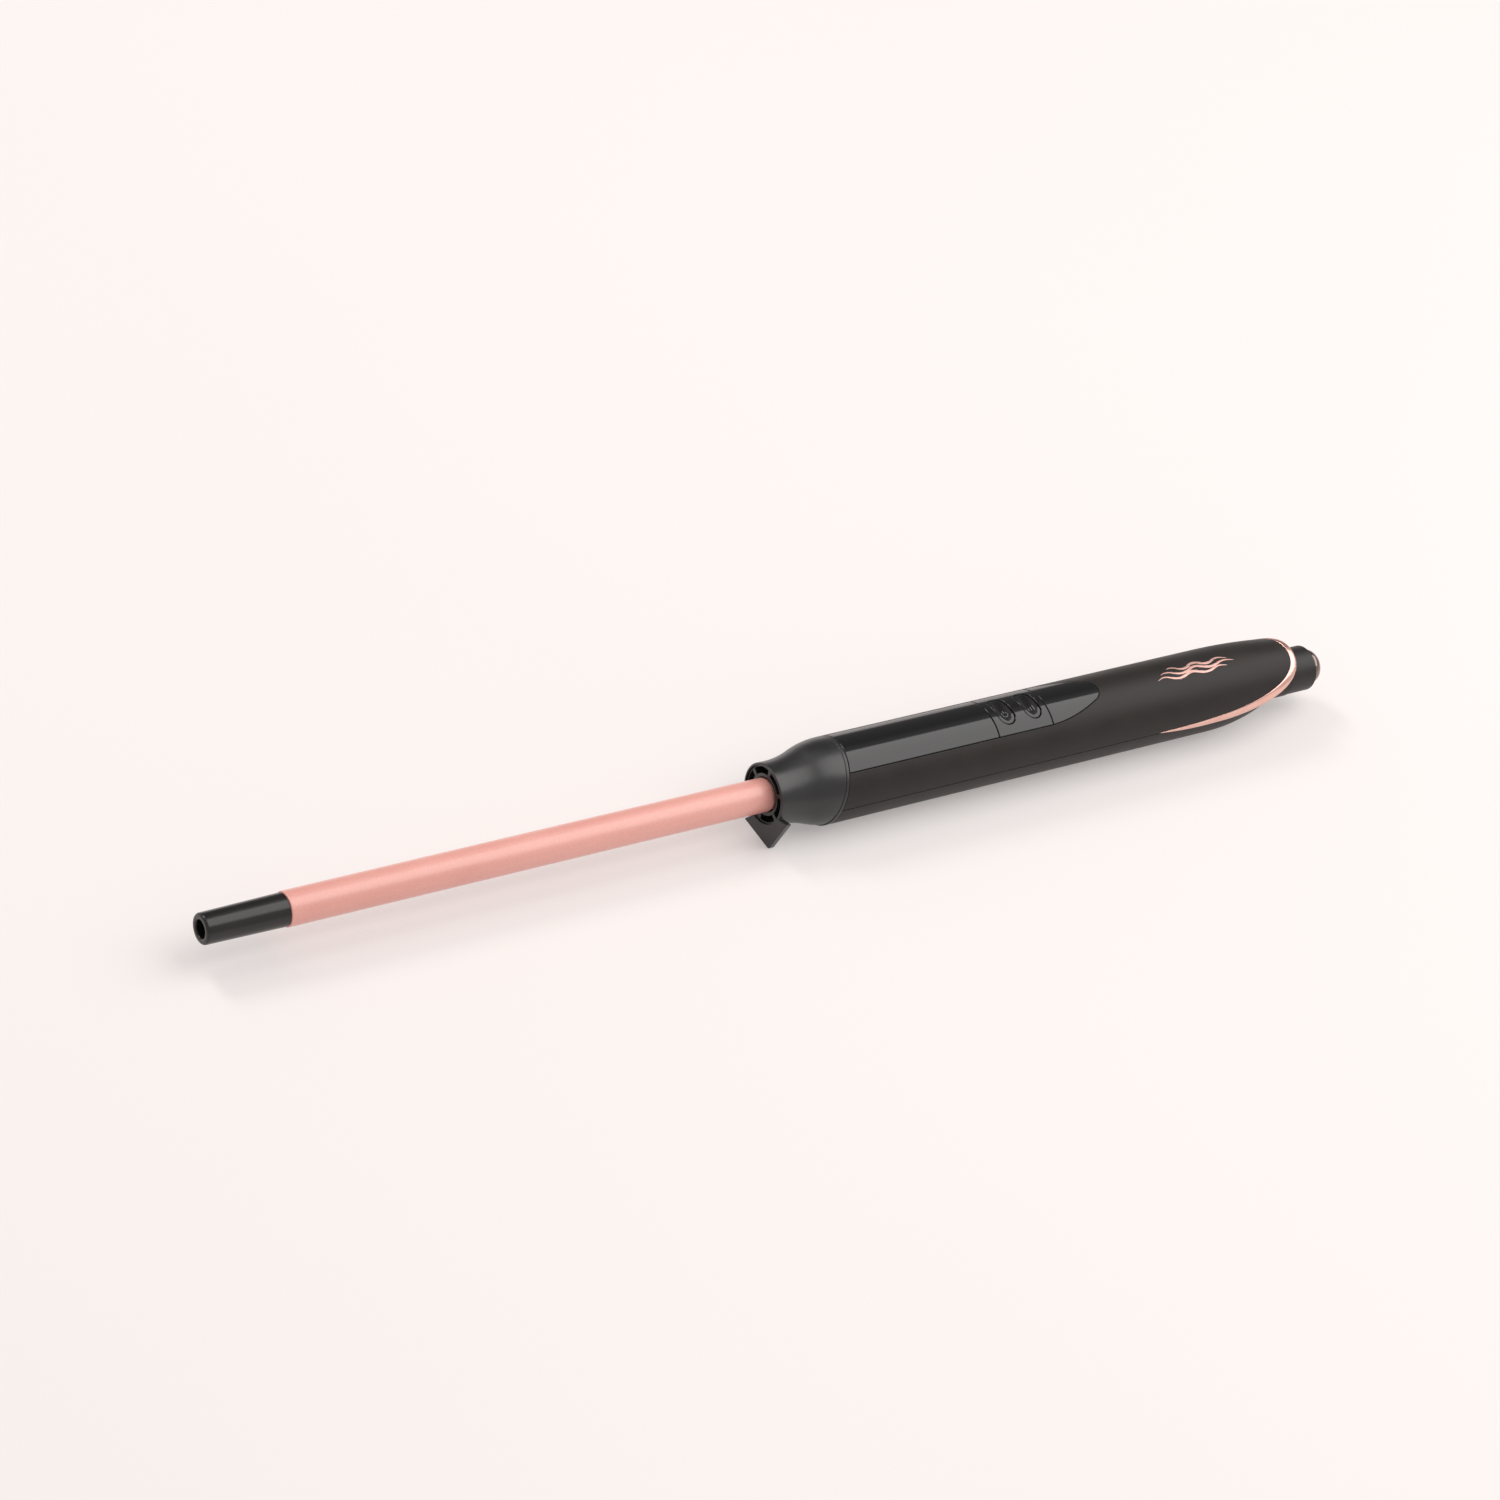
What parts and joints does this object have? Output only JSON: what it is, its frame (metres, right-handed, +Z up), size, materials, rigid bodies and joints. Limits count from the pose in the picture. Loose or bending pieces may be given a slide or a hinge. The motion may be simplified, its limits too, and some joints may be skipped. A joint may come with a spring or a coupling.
{
  "type": "curling wand",
  "caption": "Slim hair curling wand with a round heated barrel, cool tip, vented collar with a rest foot, gloss button strip and cord swivel.",
  "frame": {"origin": "on the table, below the middle of the wand's bounding box", "axes": "+X along the level wand from the cool tip to the cord swivel, +Z up through the middle of the button strip"},
  "size_m": [0.392, 0.0259, 0.0254],
  "materials": {
    "satin_black": "satin moulded heat-proof plastic",
    "rose_ceramic": "satin pearl rose ceramic coating on aluminium",
    "soft_black": "matt soft-touch lacquer",
    "gloss_black": "polished",
    "tail_black": "fine satin",
    "rose_gold": "satin rose-gold plating",
    "smoky_chrome": "smoky bright plating",
    "aluminium": "plain extruded",
    "ceramic_white": "fired ceramic",
    "insulator": "moulded heat-proof resin",
    "copper": "plain",
    "board_green": "lacquered laminate",
    "lamp": "clear tinted",
    "steel": "zinc plated",
    "lead_sleeve": "woven glass sleeve, impregnated"
  },
  "bodies": {
    "handle": {"barrel": "rose_ceramic", "barrel_holder": "insulator", "board_components": "insulator", "board_screws": "steel", "collar_ring": "satin_black", "contact_brushes": "copper", "control_board": "board_green", "control_panel": "gloss_black", "cool_tip": "satin_black", "front_collar": "satin_black", "front_panel": "gloss_black", "heat_spreader": "aluminium", "heater_leads": "lead_sleeve", "heater_rod": "ceramic_white", "indicator_lights": "lamp", "lower_shell": "soft_black", "rear_panel": "gloss_black", "supply_leads": "lead_sleeve", "tact_switches": "insulator", "tail_sleeve": "tail_black", "temperature_sensor": "aluminium", "thermal_fuse": "aluminium", "trim_band": "rose_gold", "upper_shell": "soft_black", "vent_ring": "satin_black"},
    "power_button": {"power_button": "gloss_black"},
    "temperature_button": {"temperature_button": "gloss_black"},
    "cord_swivel": {"cord_swivel": "smoky_chrome", "slip_rings": "copper"}
  },
  "joints": [
    {"name": "power_press", "type": "slide", "parent": "handle", "child": "power_button", "axis": [0, 0, -1], "range_m": [0, 0.0005], "stiffness_N_per_m": 2600},
    {"name": "temperature_press", "type": "slide", "parent": "handle", "child": "temperature_button", "axis": [0, 0, -1], "range_m": [0, 0.0005], "stiffness_N_per_m": 2600},
    {"name": "swivel_turn", "type": "hinge", "parent": "handle", "child": "cord_swivel", "pos_m": [0.179, 0, 0.012], "axis": [1, 0, 0], "continuous": true}
  ]
}
